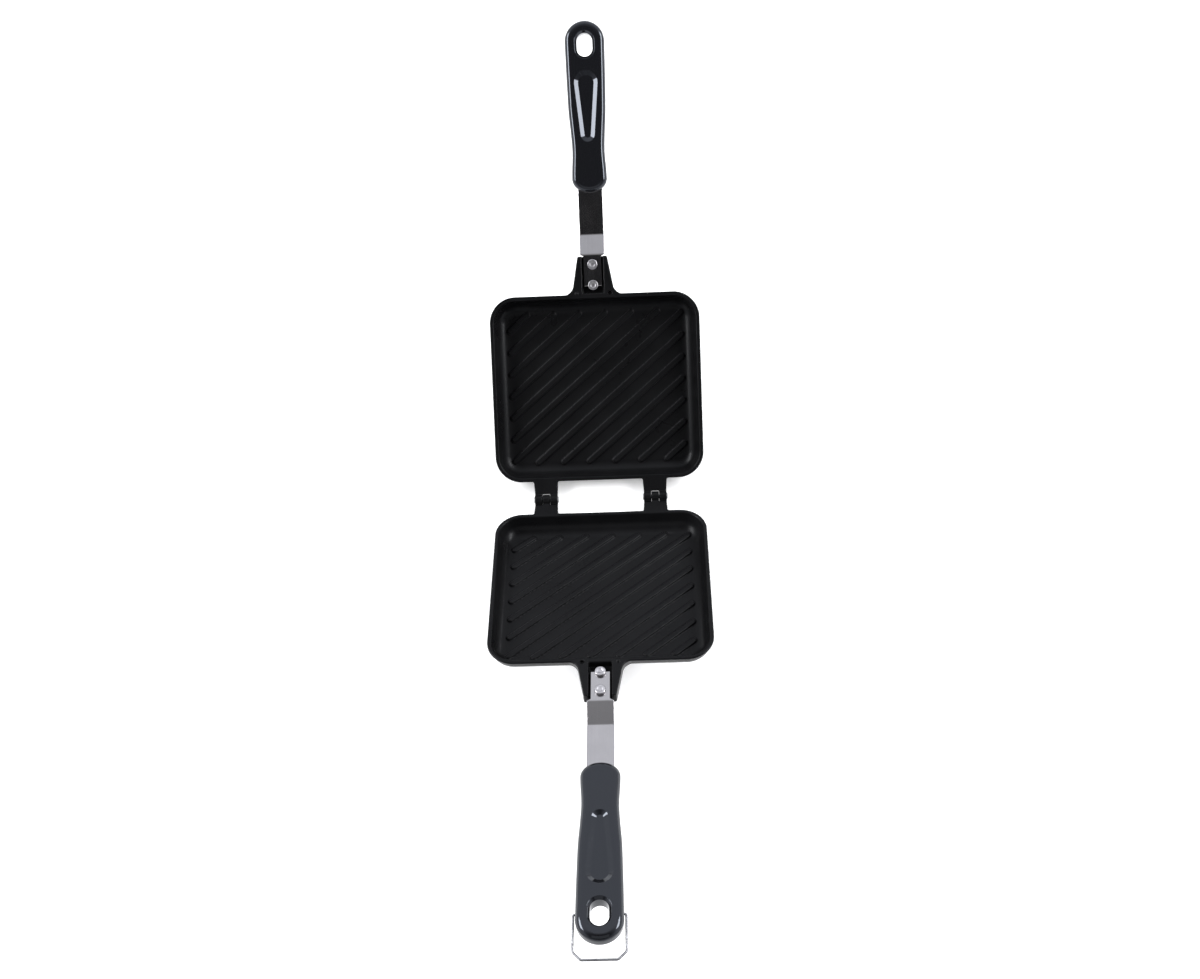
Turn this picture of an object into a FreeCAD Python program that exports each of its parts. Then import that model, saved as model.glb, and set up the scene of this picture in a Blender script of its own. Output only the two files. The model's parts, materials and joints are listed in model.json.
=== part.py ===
import FreeCAD, Part
import math
import os
from FreeCAD import Vector

os.makedirs("parts", exist_ok=True)

# Every length is in millimetres and every angle in degrees.
# Each half is drawn in its own frame: the hinge runs along X, the pan and its handle reach
# out along -Y, the rim plane is at zero height and the food side faces up.
# A value that ends in "out" is a distance from the hinge axis or from the pan's handle side.
# A value that ends in "run" is a distance along the handle from the strap's second bend.

# Pan casting
pan_width = 145.0
pan_length = 128.6
dish_depth = 12.0
floor_thickness = 2.4
floor_corner_radius = 3.1
wall_thickness = 2.4
wall_draft_angle = 18.0
wall_foot_radius = 9.0
outer_foot_radius = 14.0
rim_width = 2.6
rim_round = 0.6
lip_height = 1.7
hinge_setback = 12.7
rim_gap = 0.5

# Grill ribs on the dish floor
rib_width = 3.8
rib_height = 1.5
rib_round = 0.5
rib_root = 0.8
rib_pitch = 11.65
rib_angle = 40.0
rib_field_inset = 10.8

# Lug that carries the strap
lug_length = 26.0
lug_root_width = 29.6
lug_tip_width = 20.4
lug_root_round = 7.5
lug_tip_round = 1.2
lug_edge_round = 0.6
channel_clearance = 1.2
channel_setback = 0.6
channel_floor_thickness = 2.8

# Locating peg and hole at the lug root
locator_spacing = 22.8
locator_out = 0.5
peg_radius = 1.1
peg_height = 1.2
peg_round = 0.5
peg_clearance = 0.4
peg_hole_depth = 1.8

# Hinge
hinge_spacing = 76.0
hinge_lug_width = 16.8
hinge_lug_thickness = 5.0
hinge_lug_root_round = 1.0
knuckle_width = 15.8
knuckle_radius = 3.6
tongue_width = 5.0
tongue_side_gap = 0.3
shoulder_gap = 0.6
fork_root_gap = 0.4
heel_depth = 4.4
stop_gap = 0.1
opening_angle = 130.0
pin_radius = 1.5
pin_seat_clearance = 0.03
pin_running_clearance = 0.08
pin_head_radius = 2.3
pin_head_height = 0.7
pin_head_round = 0.35

# Strap between the pan and the grip
strap_thickness = 1.8
strap_width = 16.9
pad_width = 12.4
pad_drop = 3.5
pad_end_out = 5.6
pad_nose_radius = 3.2
shoulder_setback = 0.2
shoulder_length = 1.0
first_bend_out = 27.1
second_bend_out = 41.4
step_drop = 6.6
bend_radius = 2.0
handle_rise_angle = 1.5
entry_length = 4.0
tail_width = 11.0
tail_length = 58.0
tail_clearance = 0.05
key_hole_radius = 2.5
key_hole_shares = (0.3, 0.8)

# Rivets
inner_rivet_out = 6.3
outer_rivet_out = 20.4
rivet_head_radius = 3.5
rivet_head_height = 2.0
rivet_head_round = 0.5
rivet_dimple_radius = 1.7
rivet_dimple_depth = 0.3
rivet_shank_radius = 1.8
rivet_foot_radius = 3.2
rivet_foot_height = 1.2
rivet_clearance = 0.05

# Grip
grip_start_run = 28.3
grip_length = 114.7
grip_thickness = 10.5
grip_edge_round = 4.0
collar_width = 24.2
collar_end_length = 9.5
waist_width = 22.5
grip_end_width = 27.2
grip_side_shares = ((0.26, 0.0), (0.36, 0.26), (0.46, 0.62), (0.62, 0.84), (0.8, 0.97))
hanging_hole_width = 10.6
hanging_hole_length = 15.5
hanging_hole_from_tip = 16.2
hole_bevel = 1.6
recess_wide_width = 16.2
recess_narrow_width = 9.8
recess_wall_width = 2.9
recess_depth = 1.6
recess_length = 47.5
recess_start = 34.0

# Wire bail that latches the grips together
wire_radius = 0.75
bail_length = 26.6
bail_pivot_from_tip = 17.0
bail_side_gap = 0.35
latched_gap = 1.9
bail_corner_cut = 4.6
bail_end_bend_radius = 1.1
bail_corner_radius = 2.0
socket_depth = 4.0
socket_clearance = 0.08

# How far a cut runs past the face it opens, and how close two places are to count as one
overrun = 2.0
same_place = 0.001

# Places that follow from the sizes
pan_height = dish_depth + floor_thickness
axis_rise = rim_gap / 2
tilt_angle = (180.0 - opening_angle) / 2
pan_middle_out = hinge_setback + pan_length / 2
handle_side_out = hinge_setback + pan_length
channel_width = pad_width + 2 * channel_clearance
channel_depth = pad_drop + strap_thickness
lug_depth = channel_depth + channel_floor_thickness
shoulder_out = knuckle_radius + shoulder_gap
fork_root_out = knuckle_radius + fork_root_gap
ear_width = (knuckle_width - tongue_width) / 2 - tongue_side_gap
rivet_outs = (inner_rivet_out, outer_rivet_out)
bail_pivot_run = grip_start_run + grip_length - bail_pivot_from_tip
bail_height = -strap_thickness / 2
bail_leg = grip_end_width / 2 + bail_side_gap + wire_radius

x_axis = Vector(1, 0, 0)
y_axis = Vector(0, 1, 0)
z_axis = Vector(0, 0, 1)
origin = Vector(0, 0, 0)


def sine(angle):
    return math.sin(math.radians(angle))


def cosine(angle):
    return math.cos(math.radians(angle))


def tangent(angle):
    return math.tan(math.radians(angle))


def at(x, out, height=0):
    """A point of the half frame, given by its distance out from the hinge."""
    return Vector(x, -out, height)


def block(x_span, out_span, height_span):
    corner = at(x_span[0], out_span[1], height_span[0])
    width = x_span[1] - x_span[0]
    length = out_span[1] - out_span[0]
    height = height_span[1] - height_span[0]
    return Part.makeBox(width, length, height, corner)


def rounded_wire(corners, closed=True):
    """A wire through (point, radius) corners, each rounded by its own radius."""
    starts = []
    ends = []
    edges = []
    for index, (point, radius) in enumerate(corners):
        if not radius:
            starts.append(point)
            ends.append(point)
            continue
        before = (corners[index - 1][0] - point).normalize()
        after = (corners[(index + 1) % len(corners)][0] - point).normalize()
        half_angle = before.getAngle(after) / 2
        reach = radius / math.tan(half_angle)
        middle = point + (before + after).normalize() * (radius / math.sin(half_angle) - radius)
        starts.append(point + before * reach)
        ends.append(point + after * reach)
        edges.append(Part.Arc(starts[-1], middle, ends[-1]).toShape())
    for index, start in enumerate(ends if closed else ends[:-1]):
        end = starts[(index + 1) % len(corners)]
        if not start.isEqual(end, same_place):
            edges.append(Part.makeLine(start, end))
    return Part.Wire(Part.sortEdges(edges)[0])


def rounded_face(corners):
    return Part.Face(rounded_wire(corners))


def both_sides(middle, half):
    """A face from one side's (half width, out, radius) corners and their mirror image."""
    corners = [(at(middle + x, out), radius) for x, out, radius in half]
    corners += [(at(middle - x, out), radius) for x, out, radius in reversed(half)]
    return rounded_face(corners)


def slot_wire(narrow_radius, wide_radius, narrow_out, wide_out, height):
    """A closed wire round two end circles of unlike size, joined by lines along their sides."""
    lean = math.asin((wide_radius - narrow_radius) / (wide_out - narrow_out))
    sides = []
    for side in (-1, 1):
        ends = []
        for radius, out in ((narrow_radius, narrow_out), (wide_radius, wide_out)):
            ends.append(at(side * radius * math.cos(lean), out - radius * math.sin(lean), height))
        sides.append(ends)
    return Part.Wire([
        Part.makeLine(sides[0][0], sides[0][1]),
        Part.Arc(sides[0][1], at(0, wide_out + wide_radius, height), sides[1][1]).toShape(),
        Part.makeLine(sides[1][1], sides[1][0]),
        Part.Arc(sides[1][0], at(0, narrow_out - narrow_radius, height), sides[0][0]).toShape(),
    ])


def tapered(low_wire, high_wire):
    return Part.makeLoft([low_wire, high_wire], True, True)


def edges_at_height(shape, height):
    """The edges that lie in one level plane."""
    level = []
    for edge in shape.Edges:
        if max(abs(edge.BoundBox.ZMin - height), abs(edge.BoundBox.ZMax - height)) < same_place:
            level.append(edge)
    return level


# Dish profile, as (inset from the rim's outer edge, height)
foot_reach = wall_foot_radius * tangent((90.0 - wall_draft_angle) / 2)
outer_foot_reach = outer_foot_radius * tangent((90.0 - wall_draft_angle) / 2)
outer_wall_inset = rim_width - wall_thickness / cosine(wall_draft_angle)
inner_foot_inset = rim_width + dish_depth * tangent(wall_draft_angle)
outer_foot_inset = outer_wall_inset + pan_height * tangent(wall_draft_angle)
foot_end_inset = max(inner_foot_inset + foot_reach, outer_foot_inset + outer_foot_reach)
pan_corner_radius = foot_end_inset + floor_corner_radius
plate_inset = foot_end_inset + floor_corner_radius / 2


def dish_section(profile):
    """A profile face, set out from the axis of a rounded corner of the pan."""
    corners = []
    for inset, height, radius in profile:
        corners.append((Vector(pan_corner_radius - inset, 0, height), radius))
    return rounded_face(corners)


quarter_signs = ((1, 1), (-1, 1), (-1, -1), (1, -1))


def dish_ring(section):
    """The section carried round the pan: four straight sides and four turned corners."""
    half_x = pan_width / 2 - pan_corner_radius
    half_y = pan_length / 2 - pan_corner_radius
    centres = [Vector(x * half_x, y * half_y, 0) for x, y in quarter_signs]
    pieces = []
    for index, centre in enumerate(centres):
        turned = section.copy()
        turned.rotate(origin, z_axis, 90 * index)
        turned.translate(centre)
        pieces.append(turned.revolve(centre, z_axis, 90))
        pieces.append(turned.extrude(centres[index - 1] - centre))
    return pieces


def dish_plate(low, high):
    """The middle of the floor, inside the ring."""
    half_x = pan_width / 2 - plate_inset
    half_y = pan_length / 2 - plate_inset
    radius = pan_corner_radius - plate_inset
    corners = [(Vector(x * half_x, y * half_y, low), radius) for x, y in quarter_signs]
    return rounded_face(corners).extrude(Vector(0, 0, high - low))


def joined(pieces):
    return pieces[0].fuse(pieces[1:]).removeSplitter()


def pan_shell():
    lip_inset = outer_wall_inset + lip_height * tangent(wall_draft_angle)
    section = dish_section([
        (0, 0, rim_round),
        (rim_width, 0, rim_round),
        (inner_foot_inset, -dish_depth, wall_foot_radius),
        (plate_inset, -dish_depth, 0),
        (plate_inset, -pan_height, 0),
        (outer_foot_inset, -pan_height, outer_foot_radius),
        (lip_inset, -lip_height, 0),
        (0, -lip_height, rim_round),
    ])
    return joined(dish_ring(section) + [dish_plate(-pan_height, -dish_depth)])


def pan_cavity():
    section = dish_section([
        (0, overrun, 0),
        (0, 0, 0),
        (rim_width, 0, rim_round),
        (inner_foot_inset, -dish_depth, wall_foot_radius),
        (plate_inset, -dish_depth, 0),
        (plate_inset, overrun, 0),
    ])
    return joined(dish_ring(section) + [dish_plate(-dish_depth, overrun)])


def grill_ribs():
    """Raised bars with round ends, laid side by side across the field at one slant."""
    half_x = pan_width / 2 - rib_field_inset - rib_width / 2
    half_y = pan_length / 2 - rib_field_inset - rib_width / 2
    along = Vector(cosine(rib_angle), sine(rib_angle), 0)
    across = Vector(-sine(rib_angle), cosine(rib_angle), 0)
    farthest = half_x * abs(across.x) + half_y * abs(across.y)
    ranks = int(farthest / rib_pitch)
    foot = -dish_depth - rib_root
    bars = []
    for rank in range(-ranks, ranks + 1):
        middle = across * (rank * rib_pitch)
        lows = []
        highs = []
        for half, place, slope in ((half_x, middle.x, along.x), (half_y, middle.y, along.y)):
            lows.append((-half - place) / slope)
            highs.append((half - place) / slope)
        start = max(lows)
        end = min(highs)
        if end - start < rib_width:
            continue
        wire = slot_wire(rib_width / 2, rib_width / 2, start, end, foot)
        bar = Part.Face(wire).extrude(Vector(0, 0, rib_root + rib_height))
        bar = bar.makeFillet(rib_round, edges_at_height(bar, rib_height - dish_depth))
        bar.rotate(origin, z_axis, 90.0 + rib_angle)
        bar.translate(middle)
        bars.append(bar)
    return bars


def lug_outline(drawn_back, height):
    """The strap lug seen from above, with its root drawn back towards the pan's middle."""
    tip = lug_tip_width / 2
    side_slope = (lug_root_width - lug_tip_width) / 2 / lug_length
    root_out = handle_side_out - drawn_back
    root = lug_root_width / 2 + drawn_back * side_slope
    flare = root + lug_root_round
    face = both_sides(0, [
        (flare, handle_side_out - plate_inset, 0),
        (flare, root_out, 0),
        (root, root_out, lug_root_round),
        (tip, handle_side_out + lug_length, lug_tip_round),
    ])
    face.translate(Vector(0, 0, height))
    return face.OuterWire


def strap_lug():
    """The channel-shaped lug on the handle side. Its root follows the slant of the wall."""
    far = handle_side_out + lug_length
    wall_at_foot = outer_wall_inset + lug_depth * tangent(wall_draft_angle) + rim_round
    lug = tapered(lug_outline(wall_at_foot, -lug_depth), lug_outline(0, 0))
    channel = channel_width / 2
    lug = lug.cut(block((-channel, channel), (handle_side_out + channel_setback, far + overrun),
                        (-channel_depth, overrun)))
    lug = lug.makeFillet(lug_edge_round, edges_at_height(lug, 0) + edges_at_height(lug, -lug_depth))
    for out in rivet_outs:
        hole = Part.makeCylinder(rivet_shank_radius + rivet_clearance, lug_depth + overrun,
                                 at(0, handle_side_out + out, -lug_depth - overrun / 2))
        lug = lug.cut(hole)
    return lug


def locating_peg():
    place = at(locator_spacing / 2, handle_side_out + locator_out, -peg_height)
    peg = Part.makeCylinder(peg_radius, 2 * peg_height, place)
    return peg.makeFillet(peg_round, edges_at_height(peg, peg_height))


def locating_hole():
    place = at(-locator_spacing / 2, handle_side_out + locator_out, -peg_hole_depth)
    return Part.makeCylinder(peg_radius + peg_clearance, peg_hole_depth + overrun, place)


def hinge_lug(middle, end_out):
    """One lug on the hinge side, from inside the pan's wall to end_out."""
    wide = hinge_lug_width / 2
    narrow = knuckle_width / 2
    flare = wide + 2 * hinge_lug_root_round
    inside = hinge_setback + plate_inset
    lug = both_sides(middle, [
        (flare, inside, 0),
        (flare, hinge_setback, 0),
        (wide, hinge_setback, hinge_lug_root_round),
        (narrow, end_out, 0),
    ]).extrude(Vector(0, 0, -hinge_lug_thickness))
    faces_edges = edges_at_height(lug, 0) + edges_at_height(lug, -hinge_lug_thickness)
    return lug.makeFillet(lug_edge_round, faces_edges)


def knuckle(middle, width, out_end):
    """A barrel round the hinge axis and the neck that joins it to its lug."""
    low = middle - width / 2
    barrel = Part.makeCylinder(knuckle_radius, width, at(low, 0, axis_rise), x_axis)
    neck = block((low, low + width), (0, out_end), (axis_rise - knuckle_radius, 0))
    return [barrel, neck]


def pin_bore(middle, clearance):
    start = at(middle - knuckle_width, 0, axis_rise)
    return Part.makeCylinder(pin_radius + clearance, 2 * knuckle_width, start, x_axis)


def tongue_hinge(middle):
    """The lower half's side of one hinge: a lug with a single tongue."""
    lug = hinge_lug(middle, shoulder_out)
    return joined([lug] + knuckle(middle, tongue_width, shoulder_out + lug_edge_round + overrun))


def heel(middle, width):
    """The stop under an ear. Drawn where the lower half's shoulder meets it when open."""
    low = middle - width / 2
    stop = block((low, low + width), (0, shoulder_out - stop_gap), (-heel_depth, axis_rise))
    stop.translate(at(0, 0, -axis_rise))
    stop.rotate(origin, x_axis, -2 * tilt_angle)
    stop.rotate(origin, z_axis, 180)
    stop.translate(at(0, 0, axis_rise))
    return stop


def fork_hinge(middle):
    """The upper half's side of one hinge: a lug with two ears, each with its heel."""
    pieces = [hinge_lug(middle, fork_root_out)]
    for side in (-1, 1):
        ear_middle = middle + side * (knuckle_width - ear_width) / 2
        pieces += knuckle(ear_middle, ear_width, fork_root_out + lug_edge_round + overrun)
        pieces.append(heel(ear_middle, ear_width))
    return joined(pieces)


def pan(hinge, bore_clearance):
    """One cast pan: dish, ribs, strap lug and its two hinge lugs."""
    shell = pan_shell()
    ribs = grill_ribs()
    cavity = pan_cavity()
    shell = shell.fuse(ribs)
    shell.translate(at(0, pan_middle_out))
    cavity.translate(at(0, pan_middle_out))
    middles = (-hinge_spacing / 2, hinge_spacing / 2)
    lugs = [strap_lug()] + [hinge(middle) for middle in middles]
    body = joined([shell] + [lug.cut(cavity) for lug in lugs] + [locating_peg()])
    holes = [locating_hole()] + [pin_bore(middle, bore_clearance) for middle in middles]
    return body.cut(holes)


def hinge_pin(middle):
    """A plain pin, peened to a low head at each end. Drawn upright, then laid along the hinge."""
    half_knuckle = knuckle_width / 2
    half_pin = half_knuckle + pin_head_height
    pieces = [Part.makeCylinder(pin_radius, 2 * half_pin, Vector(0, 0, -half_pin))]
    for side in (-1, 1):
        seat = Vector(0, 0, side * half_knuckle)
        head = Part.makeCylinder(pin_head_radius, pin_head_height, seat, z_axis * side)
        pieces.append(head.makeFillet(pin_head_round, edges_at_height(head, side * half_pin)))
    pin = joined(pieces)
    pin.rotate(origin, y_axis, 90)
    pin.translate(at(middle, 0, axis_rise))
    return pin


def to_half(shape):
    """From the handle's own frame, which starts at the second bend, to the half frame."""
    moved = shape.copy()
    moved.rotate(origin, x_axis, -handle_rise_angle)
    moved.translate(at(0, handle_side_out + second_bend_out, -pad_drop - step_drop))
    return moved


def in_half(point):
    """A point of the handle's own frame, as it lies in the half frame."""
    return to_half(Part.Vertex(point)).Vertexes[0].Point


def strap():
    """A bent flat strap: a riveted pad with a round nose, a step down, and a tail for the grip."""
    run = grip_start_run + entry_length + tail_length
    inner_rivet = handle_side_out + inner_rivet_out
    rise = Vector(0, -cosine(handle_rise_angle), sine(handle_rise_angle))
    top = [
        at(0, inner_rivet - pad_nose_radius, -pad_drop),
        at(0, handle_side_out + first_bend_out, -pad_drop),
        at(0, handle_side_out + second_bend_out, -pad_drop - step_drop),
    ]
    top.append(top[-1] + rise * run)
    normals = [x_axis.cross(top[index + 1] - top[index]).normalize() for index in range(3)]
    bottom = [top[0] + normals[0] * strap_thickness]
    for index in (1, 2):
        pair = normals[index - 1] + normals[index]
        bottom.append(top[index] + pair * (strap_thickness / (1 + normals[index - 1].dot(normals[index]))))
    bottom.append(top[3] + normals[2] * strap_thickness)
    outer = bend_radius + strap_thickness
    radii = (0, outer, bend_radius, 0, 0, outer, bend_radius, 0)
    side_view = rounded_face(list(zip(top + bottom[::-1], radii)))
    side_view.translate(x_axis * (-strap_width / 2))
    body = side_view.extrude(x_axis * strap_width)
    shoulder = handle_side_out + lug_length + shoulder_setback
    entry = handle_side_out + second_bend_out + grip_start_run + entry_length
    end = entry + tail_length
    plan = both_sides(0, [
        (pad_width / 2, handle_side_out + pad_end_out, 0),
        (pad_width / 2, shoulder, 0),
        (strap_width / 2, shoulder + shoulder_length, 0),
        (strap_width / 2, entry, 0),
        (tail_width / 2, entry, 0),
        (tail_width / 2, end, 0),
    ]).extrude(Vector(0, 0, -2 * lug_depth))
    nose = Part.makeCylinder(pad_nose_radius, 2 * lug_depth, at(0, inner_rivet, -2 * lug_depth))
    body = body.common(plan.fuse(nose))
    holes = []
    for out in rivet_outs:
        place = at(0, handle_side_out + out, -lug_depth)
        holes.append(Part.makeCylinder(rivet_shank_radius + rivet_clearance, lug_depth, place))
    for key_run in key_runs():
        place = at(0, key_run, -strap_thickness - overrun)
        holes.append(to_half(Part.makeCylinder(key_hole_radius, 2 * overrun + strap_thickness, place)))
    return body.cut(holes)


def key_runs():
    """Where the tail's key holes lie along the handle's run."""
    return [grip_start_run + entry_length + share * tail_length for share in key_hole_shares]


def rivet(out):
    """A rivet with a dimpled head over the strap and a low foot under the lug."""
    middle = handle_side_out + out
    shank = Part.makeCylinder(rivet_shank_radius, lug_depth - pad_drop, at(0, middle, -lug_depth))
    head = Part.makeCylinder(rivet_head_radius, rivet_head_height, at(0, middle, -pad_drop))
    head = head.makeFillet(rivet_head_round, edges_at_height(head, rivet_head_height - pad_drop))
    foot_low = -lug_depth - rivet_foot_height
    foot = Part.makeCylinder(rivet_foot_radius, rivet_foot_height, at(0, middle, foot_low))
    foot = foot.makeFillet(rivet_head_round, edges_at_height(foot, foot_low))
    dimple = Part.makeCone(0, rivet_dimple_radius, rivet_dimple_depth,
                           at(0, middle, rivet_head_height - pad_drop - rivet_dimple_depth))
    return joined([shank, head, foot]).cut(dimple)


def collar_end():
    """Half an ellipse across the end of the grip that faces the pan."""
    middle = at(0, grip_start_run + collar_end_length)
    end = at(0, grip_start_run)
    side = at(collar_width / 2, grip_start_run + collar_end_length)
    if collar_width / 2 > collar_end_length:
        return Part.ArcOfEllipse(Part.Ellipse(side, end, middle), 0, math.pi).toShape()
    return Part.ArcOfEllipse(Part.Ellipse(end, side, middle), -math.pi / 2, math.pi / 2).toShape()


def grip_outline():
    """The grip seen from its face: collar, waist, full end and round tip."""
    waist = waist_width / 2
    full = grip_end_width / 2
    tip_run = grip_start_run + grip_length
    places = [(collar_width / 2, grip_start_run + collar_end_length)]
    for length_share, width_share in grip_side_shares:
        places.append((waist + width_share * (full - waist), grip_start_run + length_share * grip_length))
    places.append((full, tip_run - full))
    edges = [collar_end()]
    for side in (1, -1):
        curve = Part.BSplineCurve()
        points = [at(side * x, run) for x, run in places]
        curve.interpolate(Points=points, InitialTangent=-y_axis, FinalTangent=-y_axis)
        edges.append(curve.toShape())
    edges.append(Part.Arc(at(full, tip_run - full), at(0, tip_run), at(-full, tip_run - full)).toShape())
    return Part.Face(Part.Wire(Part.sortEdges(edges)[0]))


def slot_through(width, length, middle_out, low, high):
    radius = width / 2
    reach = (length - width) / 2
    wire = slot_wire(radius, radius, middle_out - reach, middle_out + reach, low)
    return Part.Face(wire).extrude(Vector(0, 0, high - low))


def hanging_hole(low, high):
    middle = grip_start_run + grip_length - hanging_hole_from_tip
    radius = hanging_hole_width / 2
    reach = (hanging_hole_length - hanging_hole_width) / 2
    ends = (middle - reach, middle + reach)
    cuts = [slot_through(hanging_hole_width, hanging_hole_length, middle, low - overrun, high + overrun)]
    for face, inward in ((high, -1), (low, 1)):
        wide = slot_wire(radius + hole_bevel, radius + hole_bevel, ends[0], ends[1], face)
        tight = slot_wire(radius, radius, ends[0], ends[1], face + inward * hole_bevel)
        cuts.append(tapered(tight, wide))
    return cuts


def finger_recess(face):
    narrow = recess_narrow_width / 2
    wide = recess_wide_width / 2
    narrow_out = grip_start_run + recess_start + narrow
    wide_out = grip_start_run + recess_start + recess_length - wide
    mouth = slot_wire(narrow, wide, narrow_out, wide_out, face)
    low_face = face - recess_depth
    floor = slot_wire(narrow - recess_wall_width, wide - recess_wall_width, narrow_out, wide_out, low_face)
    return tapered(floor, mouth)


def tail_slot():
    """The space the strap's tail fills, keyed by plugs through its holes."""
    heights = (-strap_thickness - tail_clearance, tail_clearance)
    entry = strap_width / 2 + tail_clearance
    tail = tail_width / 2 + tail_clearance
    start = grip_start_run - overrun
    entry_end = grip_start_run + entry_length + tail_clearance
    slot = block((-entry, entry), (start, entry_end), heights)
    slot = slot.fuse(block((-tail, tail), (start, entry_end + tail_length), heights))
    for key_run in key_runs():
        place = at(0, key_run, -strap_thickness - overrun)
        plug = Part.makeCylinder(key_hole_radius - tail_clearance, strap_thickness + 2 * overrun, place)
        slot = slot.cut(plug)
    return slot


def grip(has_sockets):
    """A moulded grip in the handle's own frame, centred on the strap's thickness."""
    high = (grip_thickness - strap_thickness) / 2
    low = high - grip_thickness
    outline = grip_outline()
    outline.translate(Vector(0, 0, low))
    body = outline.extrude(Vector(0, 0, grip_thickness))
    body = body.makeFillet(grip_edge_round, edges_at_height(body, low) + edges_at_height(body, high))
    body = body.cut(hanging_hole(low, high) + [finger_recess(high), tail_slot()])
    if has_sockets:
        body = body.cut(bail_sockets())
    return body


def bail_sockets():
    sockets = []
    for side in (-1, 1):
        mouth = at(side * (grip_end_width / 2 + overrun), bail_pivot_run, bail_height)
        radius = wire_radius + socket_clearance
        sockets.append(Part.makeCylinder(radius, socket_depth + overrun, mouth, x_axis * -side))
    return sockets


def bail():
    """A bent wire loop, its ends turned in to the grip's sockets."""
    stub = grip_end_width / 2 - socket_depth + socket_clearance
    far = bail_pivot_run + bail_length
    one_side = [
        (stub, bail_pivot_run, 0),
        (bail_leg, bail_pivot_run, bail_end_bend_radius),
        (bail_leg, far - bail_corner_cut, bail_corner_radius),
        (bail_leg - bail_corner_cut, far, bail_corner_radius),
    ]
    corners = [(at(-x, run, bail_height), radius) for x, run, radius in one_side]
    corners += [(at(x, run, bail_height), radius) for x, run, radius in reversed(one_side)]
    path = rounded_wire(corners, closed=False)
    section = Part.Wire(Part.makeCircle(wire_radius, at(-stub, bail_pivot_run, bail_height), x_axis))
    return path.makePipeShell([section], True, True)


def folded_angle():
    """How far the bail swings back before its crossbar lies on its own grip's outer face."""
    rise = grip_thickness / 2 + wire_radius + bail_side_gap
    return 180.0 - math.degrees(math.asin(rise / bail_length))


def latched_angle():
    """How far the bail swings before its corners meet the closed upper grip's outer edges."""
    pivot = in_half(at(0, bail_pivot_run, bail_height))
    outer = in_half(at(0, bail_pivot_run, bail_height - grip_thickness / 2))
    mirrored = Vector(0, outer.y, 2 * axis_rise - outer.z)
    facing = Vector(0, -sine(handle_rise_angle), cosine(handle_rise_angle))
    rise = (mirrored - pivot).dot(facing) + wire_radius + latched_gap
    return 180.0 - 2 * handle_rise_angle - math.degrees(math.asin(rise / bail_length))


def lower_half(shape):
    """From the half frame to the open iron: the front half leans up towards the front."""
    moved = shape.copy()
    moved.translate(Vector(0, 0, -axis_rise))
    moved.rotate(origin, x_axis, -tilt_angle)
    return moved


def upper_half(shape):
    """The other half is turned about and leans up towards the back."""
    moved = shape.copy()
    moved.translate(Vector(0, 0, -axis_rise))
    moved.rotate(origin, z_axis, 180)
    moved.rotate(origin, x_axis, tilt_angle)
    return moved


def build():
    strap_shape = strap()
    pieces = {
        "lower_pan": lower_half(pan(tongue_hinge, pin_running_clearance)),
        "upper_pan": upper_half(pan(fork_hinge, pin_seat_clearance)),
        "hinge_pin_left": upper_half(hinge_pin(hinge_spacing / 2)),
        "hinge_pin_right": upper_half(hinge_pin(-hinge_spacing / 2)),
        "lower_strap": lower_half(strap_shape),
        "upper_strap": upper_half(strap_shape),
        "lower_grip": lower_half(to_half(grip(True))),
        "upper_grip": upper_half(to_half(grip(False))),
        "latch_bail": lower_half(to_half(bail())),
    }
    for name, out in (("inner", inner_rivet_out), ("outer", outer_rivet_out)):
        pieces["lower_rivet_" + name] = lower_half(rivet(out))
        pieces["upper_rivet_" + name] = upper_half(rivet(out))
    box = Part.Compound(list(pieces.values())).optimalBoundingBox(False, False)
    stand = Vector(0, -(box.YMin + box.YMax) / 2, -box.ZMin)
    for shape in pieces.values():
        shape.translate(stand)
    return pieces, stand


def row_point(half, point):
    """A point of one half's frame, as it lies in the open iron."""
    return half(Part.Vertex(point)).Vertexes[0].Point + stand


def show(name, place):
    print(name, "at", round(place.x, 3), round(place.y, 3), round(place.z, 3))


parts, stand = build()
for name, shape in parts.items():
    state = "valid" if shape.isValid() else "not valid"
    print(name, len(shape.Solids), "solid", state, round(shape.Volume, 1))
    shape.exportStep("parts/" + name + ".step")
show("hinge axis", stand)
show("lower pan's underside", row_point(lower_half, at(0, pan_middle_out, -pan_height)))
show("upper pan's underside", row_point(upper_half, at(0, pan_middle_out, -pan_height)))
show("bail pivot", row_point(lower_half, in_half(at(0, bail_pivot_run, bail_height))))
print("bail folds", round(folded_angle(), 1), "latches", round(latched_angle(), 1))
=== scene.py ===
import json
import math
import bmesh
import bpy
from mathutils import Matrix, Vector


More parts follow.
